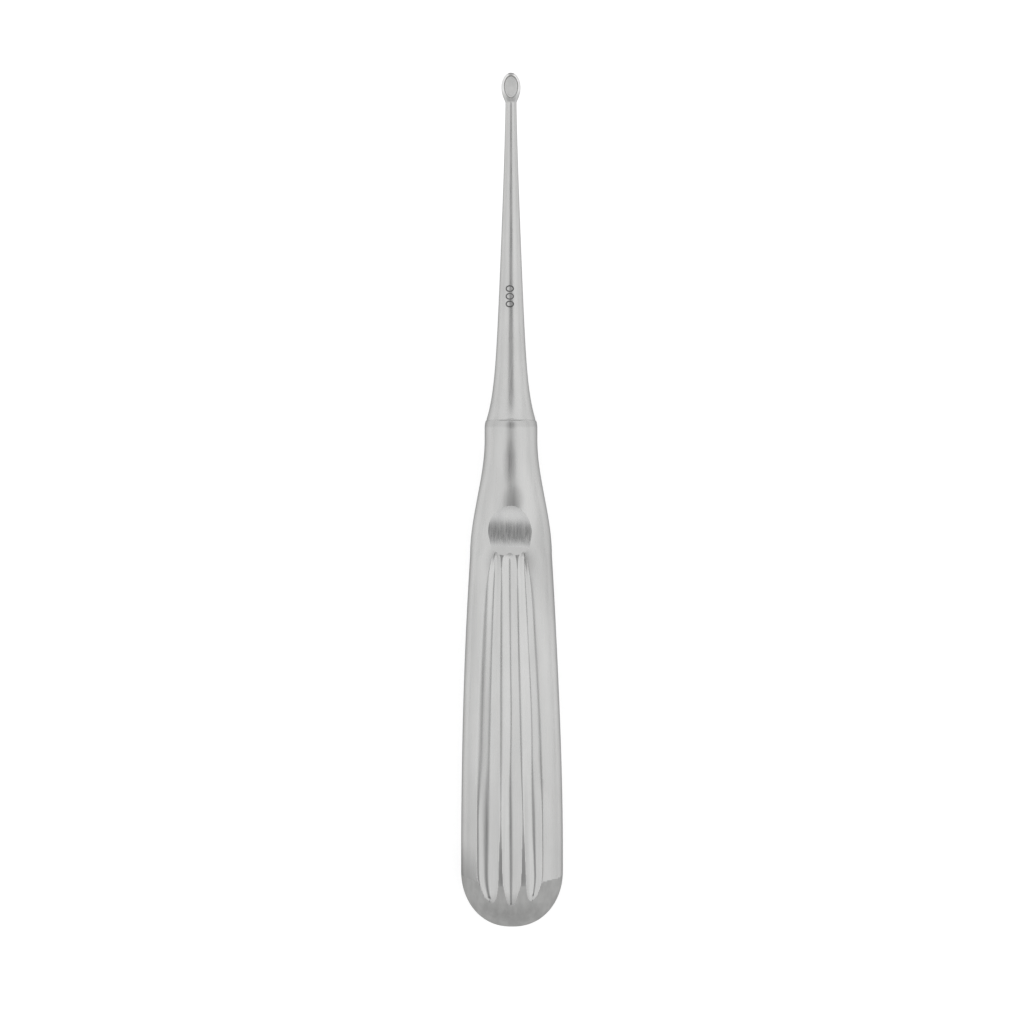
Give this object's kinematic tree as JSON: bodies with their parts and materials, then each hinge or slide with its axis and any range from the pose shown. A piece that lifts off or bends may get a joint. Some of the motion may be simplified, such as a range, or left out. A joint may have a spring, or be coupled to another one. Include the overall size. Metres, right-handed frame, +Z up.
{
  "type": "curette",
  "caption": "Forged bone curette: a small sharp oval cup on a long tapering shaft, a round neck behind a shoulder, and a flat fluted grip with a ground thumb rest.",
  "frame": {"origin": "middle of the instrument's box, on the surface that it lies on", "axes": "+Y along the shaft towards the cup, +Z up, the way the cup and the thumb rest face, +X to the right as seen from above"},
  "size_m": [0.0202, 0.17, 0.0109],
  "materials": {
    "satin_steel": "satin"
  },
  "bodies": {
    "root": {"curette": "satin_steel"}
  },
  "joints": []
}
